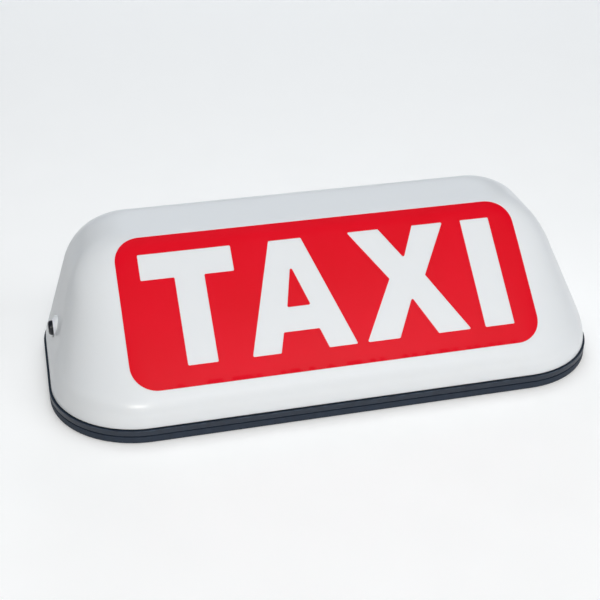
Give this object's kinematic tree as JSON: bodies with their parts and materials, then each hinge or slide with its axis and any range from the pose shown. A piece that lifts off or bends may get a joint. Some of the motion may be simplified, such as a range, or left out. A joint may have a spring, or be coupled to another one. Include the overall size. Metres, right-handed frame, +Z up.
{
  "type": "taxi roof sign",
  "caption": "Wedge-shaped lit roof sign: white dome with a red lettered panel, end screws, dark rubber-skirted base with round magnets.",
  "frame": {"origin": "centre of the footprint, on the car roof plane under the skirt and magnets", "axes": "+X along the length, -Y is the way the lettered face looks, +Z up; row at rest with the dome on its seal"},
  "size_m": [0.3, 0.144, 0.077],
  "materials": {
    "dome_plastic": "glossy translucent white, moulded",
    "film_red": "glossy self-adhesive film",
    "seal_foam": "matt closed-cell foam",
    "base_plastic": "satin, lightly grained, blue-black",
    "skirt_rubber": "matt, blue-black",
    "black_rubber": "matt",
    "zinc_steel": "zinc plated",
    "black_steel": "black, satin",
    "ferrite": "dull grey ferrite",
    "white_nylon": "satin",
    "board_white": "white solder mask",
    "board_green": "green solder mask",
    "led_body": "white body, pale yellow lens",
    "black_part": "matt moulded epoxy",
    "can_aluminium": "brushed can",
    "ferrite_coil": "matt ferrite",
    "terminal_green": "moulded",
    "sheet_aluminium": "folded sheet, satin",
    "wire_red": "PVC insulation",
    "wire_black": "PVC insulation"
  },
  "bodies": {
    "base": {"dome_seal": "seal_foam", "base_tray": "base_plastic", "roof_skirt": "skirt_rubber", "magnet_boots": "black_rubber", "magnet_cups": "zinc_steel", "magnet_discs": "ferrite", "magnet_washers": "zinc_steel", "magnet_screws": "zinc_steel", "cable_grommet": "black_rubber", "front_board": "board_white", "rear_board": "board_white", "front_leds": "led_body", "rear_leds": "led_body", "board_resistors": "black_part", "front_brackets": "sheet_aluminium", "rear_brackets": "sheet_aluminium", "board_screws": "zinc_steel", "bracket_screws": "zinc_steel", "driver_board": "board_green", "driver_screws": "zinc_steel", "capacitor": "can_aluminium", "inductor": "ferrite_coil", "driver_chip": "black_part", "terminal_block": "terminal_green", "terminal_screws": "zinc_steel", "lead_positive": "wire_red", "lead_negative": "wire_black"},
    "dome": {"dome_cover": "dome_plastic", "front_film": "film_red", "left_nut": "zinc_steel", "right_nut": "zinc_steel"},
    "left_screw_carrier": {"left_washer": "white_nylon"},
    "left_end_screw": {"left_screw": "black_steel"},
    "right_screw_carrier": {"right_washer": "white_nylon"},
    "right_end_screw": {"right_screw": "black_steel"}
  },
  "joints": [
    {"name": "dome_lift", "type": "slide", "parent": "base", "child": "dome", "axis": [0, 0, 1], "range_m": [0, 0.085]},
    {"name": "left_screw_travel", "type": "slide", "parent": "dome", "child": "left_screw_carrier", "axis": [-1, 0, 0], "range_m": [0, 0.007]},
    {"name": "left_screw_turn", "type": "hinge", "parent": "left_screw_carrier", "child": "left_end_screw", "pos_m": [-0.1431, 0.003, 0.028], "axis": [-1, 0, 0], "range_deg": [0, 3602]},
    {"name": "right_screw_travel", "type": "slide", "parent": "dome", "child": "right_screw_carrier", "axis": [1, 0, 0], "range_m": [0, 0.007]},
    {"name": "right_screw_turn", "type": "hinge", "parent": "right_screw_carrier", "child": "right_end_screw", "pos_m": [0.1431, 0.003, 0.028], "axis": [1, 0, 0], "range_deg": [0, 3602]}
  ],
  "couplings": [
    {"joint": "left_screw_turn", "follows": "left_screw_travel", "rad_per_m": 8976},
    {"joint": "right_screw_turn", "follows": "right_screw_travel", "rad_per_m": 8976}
  ]
}
